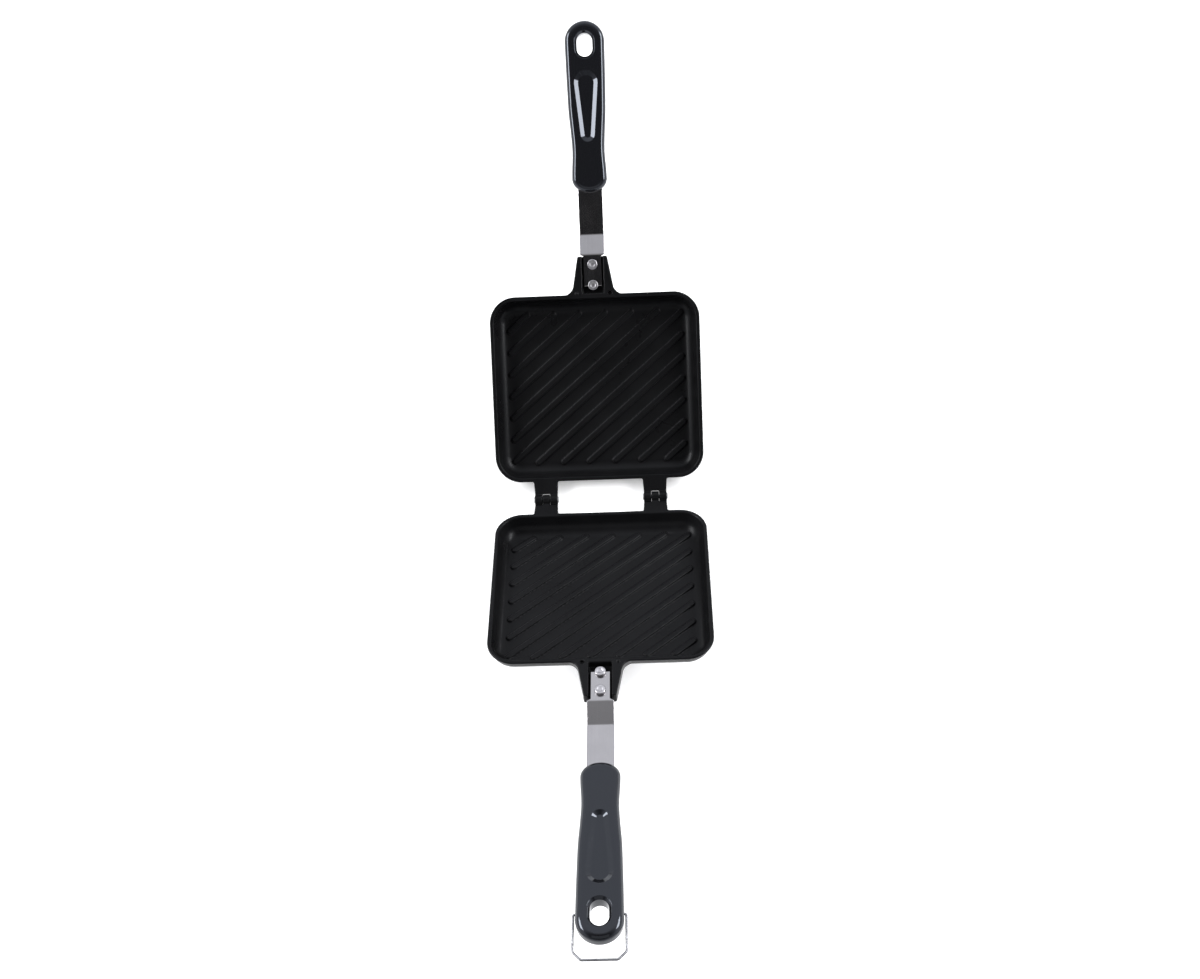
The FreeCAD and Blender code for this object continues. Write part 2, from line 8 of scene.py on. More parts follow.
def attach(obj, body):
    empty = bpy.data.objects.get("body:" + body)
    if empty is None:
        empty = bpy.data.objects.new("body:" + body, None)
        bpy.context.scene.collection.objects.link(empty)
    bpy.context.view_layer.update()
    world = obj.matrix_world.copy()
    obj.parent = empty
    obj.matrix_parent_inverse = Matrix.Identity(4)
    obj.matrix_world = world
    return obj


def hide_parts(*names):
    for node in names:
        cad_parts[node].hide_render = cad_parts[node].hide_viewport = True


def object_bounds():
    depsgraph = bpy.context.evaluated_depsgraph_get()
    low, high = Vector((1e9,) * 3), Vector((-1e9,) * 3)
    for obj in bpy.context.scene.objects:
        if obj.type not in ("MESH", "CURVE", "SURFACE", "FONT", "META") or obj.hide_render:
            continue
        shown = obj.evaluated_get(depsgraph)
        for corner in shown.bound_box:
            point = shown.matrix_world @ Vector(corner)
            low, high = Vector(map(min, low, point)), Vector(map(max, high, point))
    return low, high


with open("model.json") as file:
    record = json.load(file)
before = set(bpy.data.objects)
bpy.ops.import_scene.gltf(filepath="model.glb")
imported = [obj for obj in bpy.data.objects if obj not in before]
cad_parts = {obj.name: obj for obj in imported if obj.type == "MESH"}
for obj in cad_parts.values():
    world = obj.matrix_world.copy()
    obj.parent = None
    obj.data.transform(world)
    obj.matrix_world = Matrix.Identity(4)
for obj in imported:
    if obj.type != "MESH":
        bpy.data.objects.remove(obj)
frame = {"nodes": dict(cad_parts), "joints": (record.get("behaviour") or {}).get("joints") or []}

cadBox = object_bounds()
mm = 0.001  # lengths in the dictionaries are millimetres, Blender's are metres
scene = bpy.context.scene
hingePoint = Vector(next(joint["pos_m"] for joint in frame["joints"] if joint["name"] == "main_hinge"))

# where the two halves and their handles lie

halfValues = {
    "tilt": 25.0,          # degrees that each half leans up from the hinge
    "axisRise": 0.25,      # hinge axis over the rim plane
    "handleSideOut": 141.3,  # hinge axis to the pan's handle side
    "secondBendOut": 41.4,  # from there to the strap's second bend
    "handleDrop": 10.1,    # strap run under the rim plane
    "handleRise": 1.5,     # degrees that the handle leans back up
}


def halfMatrix(half):
    drop = Matrix.Translation((0, 0, -halfValues["axisRise"] * mm))
    lean = math.radians(halfValues["tilt"])
    if half == "lower":
        turn = Matrix.Rotation(-lean, 4, "X")
    else:
        turn = Matrix.Rotation(lean, 4, "X") @ Matrix.Rotation(math.pi, 4, "Z")
    return Matrix.Translation(hingePoint) @ turn @ drop


def handleMatrix(half):
    out = halfValues["handleSideOut"] + halfValues["secondBendOut"]
    shift = Vector((0, -out, -halfValues["handleDrop"])) * mm
    rise = Matrix.Rotation(-math.radians(halfValues["handleRise"]), 4, "X")
    return halfMatrix(half) @ Matrix.Translation(shift) @ rise


# camera, floor and light

cameraValues = {
    "lens": 42.0,
    "azimuth": 6.781,      # degrees, read from the photograph with a camera fit
    "elevation": 70.683,
    "roll": -8.283,
    "distance": 0.97742,
    "aside": -0.000567,    # metres from the hinge to the middle of the view
    "above": 0.006074,
    "nearest": 0.05,
}


def makeCamera(values):
    azimuth = math.radians(values["azimuth"])
    elevation = math.radians(values["elevation"])
    level = math.cos(elevation)
    back = Vector((math.sin(azimuth) * level, -math.cos(azimuth) * level, math.sin(elevation)))
    turn = (-back).to_track_quat("-Z", "Y").to_matrix()
    turn = turn @ Matrix.Rotation(math.radians(values["roll"]), 3, "Z")
    camera = bpy.data.objects.new("photoCamera", bpy.data.cameras.new("photoCamera"))
    camera.data.lens = values["lens"]
    camera.data.clip_start = values["nearest"]
    aim = hingePoint + turn @ Vector((values["aside"], values["above"], 0))
    camera.location = aim + back * values["distance"]
    camera.rotation_euler = turn.to_euler()
    scene.collection.objects.link(camera)
    scene.camera = camera


def addNode(tree, kind, **settings):
    node = tree.nodes.new(kind)
    for name, value in settings.items():
        setattr(node, name, value)
    return node


def feed(tree, socket, value):  # a plain number or colour is written, an output is linked
    if isinstance(value, bpy.types.NodeSocket):
        tree.links.new(value, socket)
    else:
        socket.default_value = value


def mathNode(tree, operation, *values):
    node = addNode(tree, "ShaderNodeMath", operation=operation)
    for socket, value in zip(node.inputs, values):
        feed(tree, socket, value)
    return node.outputs[0]


def rangeNode(tree, value, low, high, toLow=0.0, toHigh=1.0):
    node = addNode(tree, "ShaderNodeMapRange", interpolation_type="SMOOTHSTEP")
    feed(tree, node.inputs["Value"], value)
    for name, number in (("From Min", low), ("From Max", high), ("To Min", toLow), ("To Max", toHigh)):
        feed(tree, node.inputs[name], number)
    return node.outputs["Result"]


studioValues = {
    "floorColour": (0.86, 0.86, 0.86, 1),
    "floorGlow": 0.32,             # seen by the camera and in reflections only
    "floorHalf": 6.0,
    "floorGap": 0.0003,            # floor under the lowest point of the iron
    "floorRoughness": 0.9,
    "horizonColour": (0.95, 0.975, 1.03, 1),
    "horizonTop": 0.42,            # height of the pale band round the horizon, as a sine
    "darkAxis": (0.03, -0.52, 0.855),  # the unlit corner over the camera
    "backLevel": 1.4,              # behind the object, opposite that corner
    "darkStart": 0.30,
    "darkEnd": 0.89,
    "darkLevel": 0.035,
    "panelLift": 0.05,
    "panels": (                    # name, azimuth, elevation, distance, width, height, watts
        ("leftPanel", -103, 35, 1.26, 0.95, 0.36, 19.0),
        ("rightPanel", 103, 35, 1.26, 0.95, 0.36, 19.0),
        ("topPanel", 180, 78, 1.6, 0.80, 0.80, 0.5),
        ("frontPanel", 2, 46, 1.30, 1.30, 0.80, 2.0),
    ),
}


def makeWorld(values):
    world = bpy.data.worlds.new("studioWorld")
    world.use_nodes = True
    tree = world.node_tree
    background = tree.nodes["Background"]
    coordinates = addNode(tree, "ShaderNodeTexCoord")
    dot = addNode(tree, "ShaderNodeVectorMath", operation="DOT_PRODUCT")
    tree.links.new(coordinates.outputs["Generated"], dot.inputs[0])
    dot.inputs[1].default_value = values["darkAxis"]
    glow = rangeNode(tree, dot.outputs["Value"], values["darkStart"], values["darkEnd"],
                     values["backLevel"], values["darkLevel"])
    parts = addNode(tree, "ShaderNodeSeparateXYZ")
    tree.links.new(coordinates.outputs["Generated"], parts.inputs[0])
    band = rangeNode(tree, parts.outputs["Z"], values["horizonTop"] / 3, values["horizonTop"], 1.0, 0.0)
    background.inputs["Color"].default_value = values["horizonColour"]
    tree.links.new(mathNode(tree, "MAXIMUM", glow, band), background.inputs["Strength"])
    scene.world = world


def makeFloor(values):
    mesh = bpy.data.meshes.new("studioFloor")
    shape = bmesh.new()
    bmesh.ops.create_grid(shape, x_segments=8, y_segments=8, size=values["floorHalf"])
    shape.to_mesh(mesh)
    shape.free()
    floor = bpy.data.objects.new("studioFloor", mesh)
    scene.collection.objects.link(floor)
    floor.location.z = cadBox[0][2] - values["floorGap"]
    material = bpy.data.materials.new("studioFloor")
    material.use_nodes = True
    tree = material.node_tree
    shader = tree.nodes["Principled BSDF"]
    shader.inputs["Base Color"].default_value = values["floorColour"]
    shader.inputs["Roughness"].default_value = values["floorRoughness"]
    shader.inputs["Specular IOR Level"].default_value = 0.0
    shader.inputs["Emission Color"].default_value = (1, 1, 1, 1)
    path = addNode(tree, "ShaderNodeLightPath")
    seen = mathNode(tree, "MAXIMUM", path.outputs["Is Camera Ray"], path.outputs["Is Glossy Ray"])
    seen = mathNode(tree, "MAXIMUM", seen, path.outputs["Is Transmission Ray"])
    glow = mathNode(tree, "MULTIPLY", seen, values["floorGlow"])
    tree.links.new(glow, shader.inputs["Emission Strength"])
    mesh.materials.append(material)


def makePanels(values):
    for name, azimuth, elevation, distance, width, height, watts in values["panels"]:
        light = bpy.data.objects.new(name, bpy.data.lights.new(name, "AREA"))
        light.data.shape = "RECTANGLE"
        light.data.size = width
        light.data.size_y = height
        light.data.energy = watts
        turned, raised = math.radians(azimuth), math.radians(elevation)
        level = math.cos(raised)
        away = Vector((math.sin(turned) * level, -math.cos(turned) * level, math.sin(raised)))
        light.location = away * distance + Vector((0, 0, values["panelLift"]))
        light.rotation_euler = (-away).to_track_quat("-Z", "Y").to_euler()
        light.visible_camera = False
        scene.collection.objects.link(light)


scene.view_settings.view_transform = "Standard"
makeCamera(cameraValues)
makeWorld(studioValues)
makeFloor(studioValues)
makePanels(studioValues)
print("studio: camera, floor, world and", len(studioValues["panels"]), "soft panels")

# effects that several finishes share


def makeGroup(name, inputs, outputs):
    tree = bpy.data.node_groups.new(name, "ShaderNodeTree")
    for label, kind, value in inputs:
        socket = tree.interface.new_socket(name=label, in_out="INPUT", socket_type=kind)
        if value is not None:
            socket.default_value = value
    for label, kind in outputs:
        tree.interface.new_socket(name=label, in_out="OUTPUT", socket_type=kind)
    return tree, addNode(tree, "NodeGroupInput"), addNode(tree, "NodeGroupOutput")


def noiseNode(tree, vector, scale, detail=3.0, roughness=0.55, distortion=0.0):
    node = addNode(tree, "ShaderNodeTexNoise")
    settings = (("Vector", vector), ("Scale", scale), ("Detail", detail),
                ("Roughness", roughness), ("Distortion", distortion))
    for name, value in settings:
        feed(tree, node.inputs[name], value)
    return node.outputs["Fac"]


def pebbleGroup():
    tree, start, end = makeGroup("castPebble", (
        ("Vector", "NodeSocketVector", None),
        ("Density", "NodeSocketFloat", 900.0),
    ), (("Height", "NodeSocketFloat"), ("Speck", "NodeSocketFloat")))
    place, density = start.outputs["Vector"], start.outputs["Density"]
    cells = addNode(tree, "ShaderNodeTexVoronoi", feature="SMOOTH_F1")
    for name, value in (("Vector", place), ("Scale", density), ("Smoothness", 0.6)):
        feed(tree, cells.inputs[name], value)
    fine = noiseNode(tree, place, mathNode(tree, "MULTIPLY", density, 1.9), 2.0)
    wide = noiseNode(tree, place, mathNode(tree, "MULTIPLY", density, 0.28), 2.0)
    body = mathNode(tree, "SUBTRACT", 1.0, cells.outputs["Distance"])
    body = mathNode(tree, "MULTIPLY_ADD", body, 0.5, mathNode(tree, "MULTIPLY", fine, 0.4))
    tree.links.new(mathNode(tree, "MULTIPLY_ADD", wide, 0.5, body), end.inputs["Height"])
    tree.links.new(rangeNode(tree, fine, 0.60, 0.74), end.inputs["Speck"])
    return tree


# a mask of rubbed edges, and a mask of hollows that finishes use for painted shade
def edgeGroup():
    tree, start, end = makeGroup("edgeWearAndPaintedShade", (
        ("Vector", "NodeSocketVector", None),
        ("From", "NodeSocketFloat", 0.53),
        ("To", "NodeSocketFloat", 0.60),
        ("Patchiness", "NodeSocketFloat", 140.0),
    ), (("Mask", "NodeSocketFloat"), ("ShadeInHollows", "NodeSocketFloat")))
    geometry = addNode(tree, "ShaderNodeNewGeometry")
    edge = rangeNode(tree, geometry.outputs["Pointiness"], start.outputs["From"], start.outputs["To"])
    patch = noiseNode(tree, start.outputs["Vector"], start.outputs["Patchiness"], 4.0, 0.65)
    patch = rangeNode(tree, patch, 0.36, 0.62, 0.25, 1.0)
    tree.links.new(mathNode(tree, "MULTIPLY", edge, patch), end.inputs["Mask"])
    # concave places, where shade is painted in
    tree.links.new(rangeNode(tree, geometry.outputs["Pointiness"], 0.49, 0.42), end.inputs["ShadeInHollows"])
    return tree


def brushedGroup():
    tree, start, end = makeGroup("brushedGrain", (
        ("Vector", "NodeSocketVector", None),
        ("Stretch", "NodeSocketVector", (9000.0, 60.0, 60.0)),
    ), (("Height", "NodeSocketFloat"), ("Streak", "NodeSocketFloat")))
    along = addNode(tree, "ShaderNodeVectorMath", operation="MULTIPLY")
    feed(tree, along.inputs[0], start.outputs["Vector"])
    feed(tree, along.inputs[1], start.outputs["Stretch"])
    fine = noiseNode(tree, along.outputs[0], 1.0, 3.0, 0.7)
    broad = noiseNode(tree, along.outputs[0], 0.22, 2.0, 0.5)
    both = mathNode(tree, "MULTIPLY_ADD", fine, 0.6, mathNode(tree, "MULTIPLY", broad, 0.4))
    tree.links.new(both, end.inputs["Height"])
    tree.links.new(rangeNode(tree, both, 0.36, 0.64), end.inputs["Streak"])
    return tree


def filmGroup():
    tree, start, end = makeGroup("handledFilm", (
        ("Vector", "NodeSocketVector", None),
        ("Size", "NodeSocketFloat", 40.0),
    ), (("Film", "NodeSocketFloat"), ("Spot", "NodeSocketFloat")))
    place, size = start.outputs["Vector"], start.outputs["Size"]
    cloud = noiseNode(tree, place, size, 5.0, 0.6, 0.4)
    spots = noiseNode(tree, place, mathNode(tree, "MULTIPLY", size, 9.0), 3.0)
    tree.links.new(rangeNode(tree, cloud, 0.34, 0.68), end.inputs["Film"])
    tree.links.new(rangeNode(tree, spots, 0.62, 0.80), end.inputs["Spot"])
    return tree


groups = {"pebble": pebbleGroup(), "edge": edgeGroup(), "brushed": brushedGroup(), "film": filmGroup()}
print("shared effects:", ", ".join(group.name for group in groups.values()))

# finishes, one for each slot of the record


def startMaterial(name, constants):
    material = bpy.data.materials.new(name)
    material.use_nodes = True
    tree = material.node_tree
    shader = tree.nodes["Principled BSDF"]
    for socket, value in constants.items():
        shader.inputs[socket].default_value = value
    coordinates = addNode(tree, "ShaderNodeTexCoord")
    return material, tree, shader, coordinates.outputs["Object"]


def placeGroups(tree, place, values, *names):  # the shared effects, each with this finish's own values
    outputs = []
    for name in names:
        node = addNode(tree, "ShaderNodeGroup", node_tree=groups[name])
        tree.links.new(place, node.inputs["Vector"])
        for socket, value in values[name].items():
            node.inputs[socket].default_value = value
        outputs.append(node.outputs)
    return outputs


def mixColour(tree, factor, first, second):
    node = addNode(tree, "ShaderNodeMix", data_type="RGBA")
    for name, value in (("Factor", factor), ("A", first), ("B", second)):
        feed(tree, node.inputs[name], value)
    return node.outputs["Result"]


def share(tree, mask, amount):
    return mathNode(tree, "MULTIPLY", mask, amount)


def closeMaterial(tree, shader, values, colour, roughParts, height):
    rough = values["roughness"]
    for mask, weight in roughParts:
        rough = mathNode(tree, "ADD", share(tree, mask, weight), rough)
    bump = addNode(tree, "ShaderNodeBump")
    bump.inputs["Strength"].default_value = 1.0
    bump.inputs["Distance"].default_value = values["grainDepth"]
    tree.links.new(height, bump.inputs["Height"])
    tree.links.new(colour, shader.inputs["Base Color"])
    tree.links.new(rough, shader.inputs["Roughness"])
    tree.links.new(bump.outputs["Normal"], shader.inputs["Normal"])


coatingValues = {
    "black": (0.0034, 0.0034, 0.0037, 1),
    "dusty": (0.0047, 0.0047, 0.0051, 1),   # where the film lies
    "rubbedAndRimHighlight": (0.018, 0.018, 0.019, 1),     # thin places on the edges, and a painted highlight along the rim
    "rimHighlightAndRubShare": 0.55,
    "roughness": 0.27,
    "grainDepth": 0.000042,
    "pebble": {"Density": 1500.0},
    "edge": {"From": 0.535, "To": 0.60, "Patchiness": 120.0},
    "film": {"Size": 26.0},
    "constants": {"IOR": 1.5, "Specular IOR Level": 0.085, "Specular Tint": (0.95, 0.97, 1.0, 1)},
}


def panCoating(values):
    material, tree, shader, place = startMaterial("panCoating", values["constants"])
    pebble, edge, film = placeGroups(tree, place, values, "pebble", "edge", "film")
    colour = mixColour(tree, film["Film"], values["black"], values["dusty"])
    # lighter edges: rubbed coating, and a painted highlight along the rim and lugs
    colour = mixColour(tree, share(tree, edge["Mask"], values["rimHighlightAndRubShare"]), colour, values["rubbedAndRimHighlight"])
    roughParts = ((film["Film"], 0.06), (pebble["Speck"], 0.10), (edge["Mask"], -0.08))
    closeMaterial(tree, shader, values, colour, roughParts, pebble["Height"])
    return material


gripValues = {
    "black": (0.0058, 0.0060, 0.0072, 1),
    "worn": (0.0110, 0.0114, 0.0135, 1),
    "wornShare": 0.6,
    "roughness": 0.055,
    "grainDepth": 0.0000022,
    "pebble": {"Density": 2100.0},
    "edge": {"From": 0.54, "To": 0.62, "Patchiness": 200.0},
    "film": {"Size": 60.0},
    "constants": {"IOR": 1.5, "Specular IOR Level": 0.42, "Specular Tint": (0.82, 0.88, 1.0, 1)},
}


def gripPlastic(values):
    material, tree, shader, place = startMaterial("gripPlastic", values["constants"])
    pebble, edge, film = placeGroups(tree, place, values, "pebble", "edge", "film")
    worn = share(tree, edge["Mask"], values["wornShare"])
    colour = mixColour(tree, worn, values["black"], values["worn"])
    roughParts = ((film["Film"], 0.025), (film["Spot"], 0.04), (edge["Mask"], 0.02))
    closeMaterial(tree, shader, values, colour, roughParts, pebble["Height"])
    return material


strapValues = {
    "bright": (0.355, 0.345, 0.355, 1),
    "dull": (0.255, 0.248, 0.255, 1),
    "bare": (0.80, 0.79, 0.79, 1),          # sheared edges
    "streakShare": 0.14,
    "filmShare": 0.18,
    "bareShare": 0.5,
    "roughness": 0.10,
    "grainDepth": 0.0000020,
    "brushed": {"Stretch": (7000.0, 45.0, 45.0)},
    "edge": {"From": 0.53, "To": 0.60, "Patchiness": 260.0},
    "film": {"Size": 70.0},
    "constants": {"Metallic": 1.0},
}


def strapSteel(values):
    material, tree, shader, place = startMaterial("strapSteel", values["constants"])
    brushed, edge, film = placeGroups(tree, place, values, "brushed", "edge", "film")
    streak = share(tree, brushed["Streak"], values["streakShare"])
    colour = mixColour(tree, streak, values["bright"], values["dull"])
    colour = mixColour(tree, share(tree, film["Film"], values["filmShare"]), colour, values["dull"])
    colour = mixColour(tree, share(tree, edge["Mask"], values["bareShare"]), colour, values["bare"])
    roughParts = ((brushed["Streak"], 0.06), (film["Film"], 0.04), (edge["Mask"], -0.03))
    closeMaterial(tree, shader, values, colour, roughParts, brushed["Height"])
    return material


rivetValues = {
    "bright": (0.42, 0.41, 0.43, 1),
    "filmAndDentShadeGrey": (0.15, 0.15, 0.155, 1),         # film, and painted shade at the foot of each dent
    "greyShare": 0.7,
    "filmShare": 0.35,
    "roughness": 0.30,
    "grainDepth": 0.000060,
    "pebble": {"Density": 900.0},
    "edge": {"From": 0.53, "To": 0.62, "Patchiness": 500.0},
    "film": {"Size": 240.0},
    "constants": {"Metallic": 1.0},
}


def rivetMetal(values):
    material, tree, shader, place = startMaterial("rivetMetal", values["constants"])
    pebble, edge, film = placeGroups(tree, place, values, "pebble", "edge", "film")
    # film, and painted shade in the hollows and dents, both turn the colour grey
    filmAndShade = mathNode(tree, "MAXIMUM", share(tree, film["Film"], values["filmShare"]), edge["ShadeInHollows"])
    colour = mixColour(tree, share(tree, filmAndShade, values["greyShare"]), values["bright"], values["filmAndDentShadeGrey"])
    roughParts = ((film["Film"], 0.12), (pebble["Speck"], 0.08), (edge["Mask"], -0.05))
    closeMaterial(tree, shader, values, colour, roughParts, pebble["Height"])
    return material


wireValues = {
    "bright": (0.34, 0.34, 0.35, 1),
    "dull": (0.18, 0.18, 0.19, 1),
    "roughness": 0.20,
    "grainDepth": 0.000004,
    "pebble": {"Density": 2600.0},
    "film": {"Size": 320.0},
    "constants": {"Metallic": 1.0},
}


def bailWire(values):
    material, tree, shader, place = startMaterial("bailWire", values["constants"])
    pebble, film = placeGroups(tree, place, values, "pebble", "film")
    colour = mixColour(tree, film["Film"], values["bright"], values["dull"])
    roughParts = ((film["Film"], 0.12), (pebble["Speck"], 0.1))
    closeMaterial(tree, shader, values, colour, roughParts, pebble["Height"])
    return material


pinValues = {
    "bright": (0.40, 0.40, 0.41, 1),
    # dark tone for film, and for painted shade in the hollows
    "filmAndHollowShadeDark": (0.10, 0.10, 0.105, 1),
    "roughness": 0.30,
    "grainDepth": 0.000006,
    "brushed": {"Stretch": (300.0, 5200.0, 5200.0)},
    "edge": {"From": 0.52, "To": 0.60, "Patchiness": 420.0},
    "film": {"Size": 260.0},
    "constants": {"Metallic": 1.0},
}


def pinSteel(values):
    material, tree, shader, place = startMaterial("pinSteel", values["constants"])
    brushed, edge, film = placeGroups(tree, place, values, "brushed", "edge", "film")
    # film, and painted shade in the hollows, both turn the colour dark
    filmAndShade = mathNode(tree, "MAXIMUM", film["Film"], edge["ShadeInHollows"])
    colour = mixColour(tree, filmAndShade, values["bright"], values["filmAndHollowShadeDark"])
    roughParts = ((brushed["Streak"], 0.14), (edge["Mask"], -0.08))
    closeMaterial(tree, shader, values, colour, roughParts, brushed["Height"])
    return material


finishes = {
    "pan_coating": panCoating(coatingValues),
    "grip_plastic": gripPlastic(gripValues),
    "strap_steel": strapSteel(strapValues),
    "rivet_metal": rivetMetal(rivetValues),
    "bail_wire": bailWire(wireValues),
    "pin_steel": pinSteel(pinValues),
}
print("finishes:", ", ".join(material.name for material in finishes.values()))

# how every piece is finished off


def finishPiece(name, mesh, matrix, body, slotName, node):
    mesh.transform(matrix)
    mesh.shade_smooth()
    mesh.materials.clear()
    mesh.materials.append(finishes[slotName])
    piece = bpy.data.objects.new(name, mesh)
    scene.collection.objects.link(piece)
    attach(piece, body)
    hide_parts(node)
    print("piece:", name, len(mesh.polygons), "faces")


def meshFrom(shape, name):
    bmesh.ops.recalc_face_normals(shape, faces=shape.faces)
    mesh = bpy.data.meshes.new(name)
    shape.to_mesh(mesh)
    shape.free()
    return mesh


def roundedPath(corners, steps=5):  # corners are (across, along, radius), and a radius of 0 stays sharp
    points = []
    for index, (x, y, radius) in enumerate(corners):
        here = Vector((x, y))
        if not radius:
            points.append(here)
            continue
        before = (Vector(corners[index - 1][:2]) - here).normalized()
        after = (Vector(corners[(index + 1) % len(corners)][:2]) - here).normalized()
        halfAngle = before.angle(after) / 2
        centre = here + (before + after).normalized() * (radius / math.sin(halfAngle))
        first = here + before * (radius / math.tan(halfAngle)) - centre
        last = here + after * (radius / math.tan(halfAngle)) - centre
        points += [centre + first.slerp(last, step / steps) * radius for step in range(steps + 1)]
    return points  # slerp gives unit lengths, so each is taken times the radius


def ringOf(shape, points):
    return [shape.verts.new(point) for point in points]


def edgesOf(shape, ring):
    pairs = [(vertex, ring[index - 1]) for index, vertex in enumerate(ring)]
    return [shape.edges.get(pair) or shape.edges.new(pair) for pair in pairs]


def bridgeRings(shape, rings):
    for first, second in zip(rings, rings[1:]):
        for index in range(len(first)):
            shape.faces.new((first[index - 1], first[index], second[index], second[index - 1]))


# cast pans, with the soft inside corners of a casting, and the bent straps

panShape = {
    "voxel": 0.42,         # mesh size before it is thinned
    "rounding": 2,         # passes that soften the cast corners
    "roundingFactor": 0.5,
    "keep": 0.28,          # share of the faces that thinning keeps
}
strapShape = {
    "voxel": 0.30,
    "rounding": 2,
    "roundingFactor": 0.5,
    "keep": 0.5,
}


def softCopy(name, node, matrix, body, slotName, values):
    mesh = frame["nodes"][node].data.copy()
    mesh.transform(matrix.inverted())
    work = bpy.data.objects.new(name + "Work", mesh)
    scene.collection.objects.link(work)
    voxels = work.modifiers.new("voxels", "REMESH")
    voxels.mode = "VOXEL"
    voxels.voxel_size = values["voxel"] * mm
    soften = work.modifiers.new("soften", "SMOOTH")
    soften.factor = values["roundingFactor"]
    soften.iterations = values["rounding"]
    thin = work.modifiers.new("thin", "DECIMATE")
    thin.ratio = values["keep"]
    result = bpy.data.meshes.new_from_object(work.evaluated_get(bpy.context.evaluated_depsgraph_get()))
    bpy.data.objects.remove(work)
    result.name = name
    finishPiece(name, result, matrix, body, slotName, node)


for half in ("lower", "upper"):
    body = half + "_half"
    softCopy(half + "Pan", half + "_pan", halfMatrix(half), body, "pan_coating", panShape)
    softCopy(half + "Strap", half + "_strap", halfMatrix(half), body, "strap_steel", strapShape)

# moulded grips

gripShape = {
    "start": 28.3,                 # along the strap's run from its second bend
    "length": 114.7,
    "high": 4.35,                  # face over the strap's top
    "low": -6.15,
    "edgeRadius": 4.0,
    "collarHalf": 12.1,
    "collarLength": 9.5,
    "sides": ((0.26, 11.25), (0.36, 11.861), (0.46, 12.707), (0.62, 13.224), (0.80, 13.53)),
    "fullHalf": 13.6,
    "endSteps": 32,
    "sideSteps": 110,
    "edgeSteps": 14,
    "margin": 0.3,                 # flat ring inside the rounded edge
    "holeRadius": 5.3,
    "holeReach": 2.45,
    "holeFromTip": 16.2,
    "holeBevel": 1.6,
    "holeMargin": 0.8,
    "holeRounds": (0.6, 0.7),      # outer and inner corner of the bevel
    "recess": (67.2, 101.7, 4.9, 8.1),   # narrow and wide centres, their radii
    "recessWall": 2.9,
    "recessDepth": 1.6,
    "recessMargins": (0.7, 0.75),
    "recessRounds": (0.55, 0.9),
}


def splineThrough(places):  # smooth side line with level ends
    count = len(places)
    slopes = [0.0]
    for index in range(1, count - 1):
        (x0, y0), (x1, y1), (x2, y2) = places[index - 1:index + 2]
        before, after = (y1 - y0) / (x1 - x0), (y2 - y1) / (x2 - x1)
        slopes.append((before * (x2 - x1) + after * (x1 - x0)) / (x2 - x0))
    slopes.append(0.0)

    def width(run):
        index = next((i for i in range(count - 2) if run <= places[i + 1][0]), count - 2)
        (x0, y0), (x1, y1) = places[index], places[index + 1]
        span = x1 - x0
        part = min(max((run - x0) / span, 0.0), 1.0)
        square, cube = part ** 2, part ** 3
        return ((2 * cube - 3 * square + 1) * y0 + (cube - 2 * square + part) * span * slopes[index]
                + (3 * square - 2 * cube) * y1 + (cube - square) * span * slopes[index + 1])
    return width


def gripOutline(values):
    start, tip = values["start"], values["start"] + values["length"]
    collarEnd, tipStart = start + values["collarLength"], tip - values["fullHalf"]
    places = [(collarEnd, values["collarHalf"])]
    places += [(start + part * values["length"], half) for part, half in values["sides"]]
    places.append((tipStart, values["fullHalf"]))
    width = splineThrough(places)
    ends = [math.pi / 2 * step / values["endSteps"] for step in range(values["endSteps"] + 1)]
    half, length = values["collarHalf"], values["collarLength"]
    side = [(half * math.sin(angle), collarEnd - length * math.cos(angle)) for angle in ends[:-1]]
    for step in range(values["sideSteps"]):
        run = collarEnd + (tipStart - collarEnd) * step / values["sideSteps"]
        side.append((width(run), run))
    half = values["fullHalf"]
    side += [(half * math.cos(angle), tipStart + half * math.sin(angle)) for angle in ends]
    return side + [(-x, run) for x, run in side[-2:0:-1]]


def insetRing(outline, inset, height):
    points = []
    count = len(outline)
    for index, (x, run) in enumerate(outline):
        before, after = outline[index - 1], outline[(index + 1) % count]
        along = Vector((after[0] - before[0], after[1] - before[1])).normalized()
        inward = Vector((-along.y, along.x))
        points.append(Vector((x + inward.x * inset, -(run + inward.y * inset), height)) * mm)
    return points


def slotRing(narrowRun, wideRun, narrowRadius, wideRadius, offset, height, arcSteps=22, sideSteps=14):
    lean = math.asin((wideRadius - narrowRadius) / (wideRun - narrowRun))
    points = []
    for centre, radius, first, sweep in (
        (wideRun, wideRadius + offset, -lean, math.pi + 2 * lean),
        (narrowRun, narrowRadius + offset, math.pi + lean, math.pi - 2 * lean),
    ):
        for step in range(arcSteps + 1):
            angle = first + sweep * step / arcSteps
            points.append(Vector((radius * math.cos(angle), centre + radius * math.sin(angle))))
    whole = []
    for index, point in enumerate(points):
        whole.append(point)
        nextPoint = points[(index + 1) % len(points)]
        if index in (arcSteps, 2 * arcSteps + 1):
            whole += [point.lerp(nextPoint, step / sideSteps) for step in range(1, sideSteps)]
    return [Vector((point.x, -point.y, height)) * mm for point in whole]


def sweptSlot(shape, slot, profile):
    rings = [ringOf(shape, slotRing(*slot, offset, height)) for offset, height in profile]
    bridgeRings(shape, rings)
    return rings


